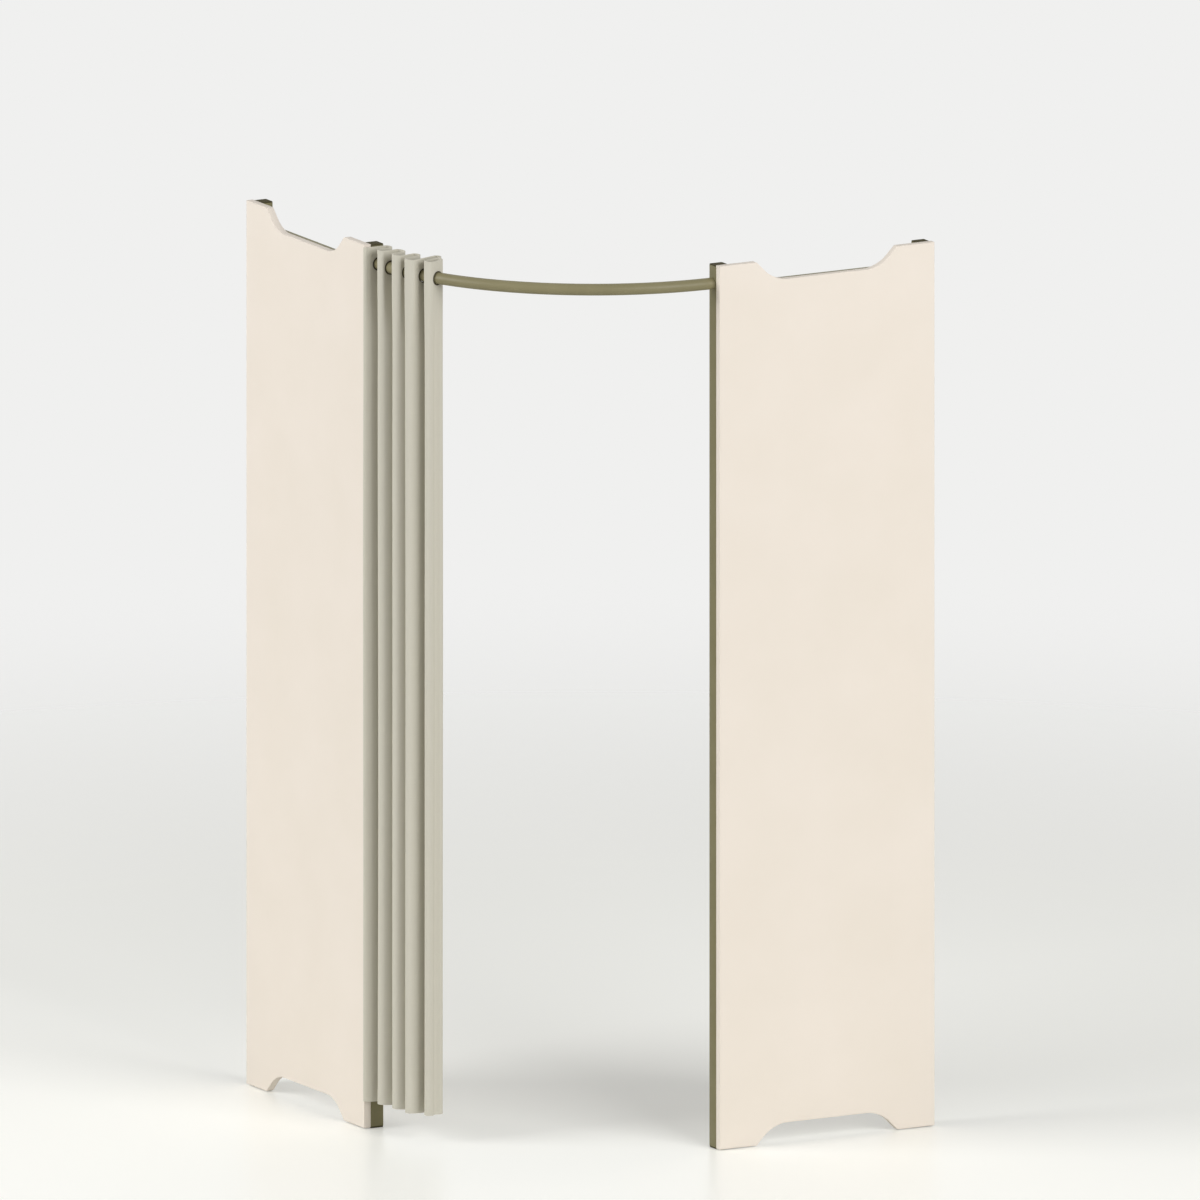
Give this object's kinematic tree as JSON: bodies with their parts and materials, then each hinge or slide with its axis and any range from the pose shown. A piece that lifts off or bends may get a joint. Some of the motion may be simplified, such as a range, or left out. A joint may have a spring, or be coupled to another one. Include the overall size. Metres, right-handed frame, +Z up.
{
  "type": "corner fitting room",
  "caption": "Corner fitting room with two cut-out side panels on square posts, a quarter-round rail and a drawn eyelet curtain.",
  "frame": {"origin": "on the floor, in the middle of the cabin's 1200 mm square: from the panels' outer faces to the two wall planes", "axes": "+Z up; the left panel's outer face looks along -X and the right panel's along -Y; the room's walls are the planes X = +0.6 and Y = +0.6; the entrance is at the corner between -X and -Y"},
  "size_m": [1.2034, 1.2, 2.14],
  "materials": {
    "panel_laminate": "matt cream laminate on board",
    "frame_paint": "satin olive-khaki powder coat",
    "black_plastic": "matt dark olive moulded plastic",
    "steel": "zinc plated",
    "curtain_cloth": "matt greige woven polyester",
    "eyelet_metal": "satin dark olive enamel"
  },
  "bodies": {
    "root": {"left_panel": "panel_laminate", "left_front_post": "frame_paint", "left_front_cap": "black_plastic", "left_front_glide": "black_plastic", "left_front_screw_1": "steel", "left_front_screw_2": "steel", "left_front_screw_3": "steel", "left_wall_post": "frame_paint", "left_wall_cap": "black_plastic", "left_wall_glide": "black_plastic", "left_wall_screw_1": "steel", "left_wall_screw_2": "steel", "left_wall_screw_3": "steel", "left_upper_cross_rail": "frame_paint", "left_lower_cross_rail": "frame_paint", "left_rail_plug": "steel", "left_rail_bolt": "steel", "right_panel": "panel_laminate", "right_front_post": "frame_paint", "right_front_cap": "black_plastic", "right_front_glide": "black_plastic", "right_front_screw_1": "steel", "right_front_screw_2": "steel", "right_front_screw_3": "steel", "right_wall_post": "frame_paint", "right_wall_cap": "black_plastic", "right_wall_glide": "black_plastic", "right_wall_screw_1": "steel", "right_wall_screw_2": "steel", "right_wall_screw_3": "steel", "right_upper_cross_rail": "frame_paint", "right_lower_cross_rail": "frame_paint", "right_rail_plug": "steel", "right_rail_bolt": "steel", "curtain_rail": "frame_paint", "curtain_fold_1": "curtain_cloth", "eyelet_1": "eyelet_metal"},
    "curtain_2": {"curtain_fold_2": "curtain_cloth", "eyelet_2": "eyelet_metal"},
    "curtain_3": {"curtain_fold_3": "curtain_cloth", "eyelet_3": "eyelet_metal"},
    "curtain_4": {"curtain_fold_4": "curtain_cloth", "eyelet_4": "eyelet_metal"},
    "curtain_5": {"curtain_fold_5": "curtain_cloth", "eyelet_5": "eyelet_metal"},
    "curtain_6": {"curtain_fold_6": "curtain_cloth", "eyelet_6": "eyelet_metal"},
    "curtain_7": {"curtain_fold_7": "curtain_cloth", "eyelet_7": "eyelet_metal"},
    "curtain_8": {"curtain_fold_8": "curtain_cloth", "eyelet_8": "eyelet_metal"},
    "curtain_9": {"curtain_fold_9": "curtain_cloth", "eyelet_9": "eyelet_metal"}
  },
  "joints": [
    {"name": "curtain_draw", "type": "hinge", "parent": "root", "child": "curtain_2", "pos_m": [0.02, 0.02, 0], "axis": [0, 0, 1], "range_deg": [0, 7.9]},
    {"name": "curtain_draw_3", "type": "hinge", "parent": "curtain_2", "child": "curtain_3", "pos_m": [0.02, 0.02, 0], "axis": [0, 0, 1], "range_deg": [0, 7.9]},
    {"name": "curtain_draw_4", "type": "hinge", "parent": "curtain_3", "child": "curtain_4", "pos_m": [0.02, 0.02, 0], "axis": [0, 0, 1], "range_deg": [0, 7.9]},
    {"name": "curtain_draw_5", "type": "hinge", "parent": "curtain_4", "child": "curtain_5", "pos_m": [0.02, 0.02, 0], "axis": [0, 0, 1], "range_deg": [0, 7.9]},
    {"name": "curtain_draw_6", "type": "hinge", "parent": "curtain_5", "child": "curtain_6", "pos_m": [0.02, 0.02, 0], "axis": [0, 0, 1], "range_deg": [0, 7.9]},
    {"name": "curtain_draw_7", "type": "hinge", "parent": "curtain_6", "child": "curtain_7", "pos_m": [0.02, 0.02, 0], "axis": [0, 0, 1], "range_deg": [0, 7.9]},
    {"name": "curtain_draw_8", "type": "hinge", "parent": "curtain_7", "child": "curtain_8", "pos_m": [0.02, 0.02, 0], "axis": [0, 0, 1], "range_deg": [0, 7.9]},
    {"name": "curtain_draw_9", "type": "hinge", "parent": "curtain_8", "child": "curtain_9", "pos_m": [0.02, 0.02, 0], "axis": [0, 0, 1], "range_deg": [0, 7.9]}
  ],
  "couplings": [
    {"joint": "curtain_draw_3", "follows": "curtain_draw", "ratio": 1},
    {"joint": "curtain_draw_4", "follows": "curtain_draw", "ratio": 1},
    {"joint": "curtain_draw_5", "follows": "curtain_draw", "ratio": 1},
    {"joint": "curtain_draw_6", "follows": "curtain_draw", "ratio": 1},
    {"joint": "curtain_draw_7", "follows": "curtain_draw", "ratio": 1},
    {"joint": "curtain_draw_8", "follows": "curtain_draw", "ratio": 1},
    {"joint": "curtain_draw_9", "follows": "curtain_draw", "ratio": 1}
  ]
}
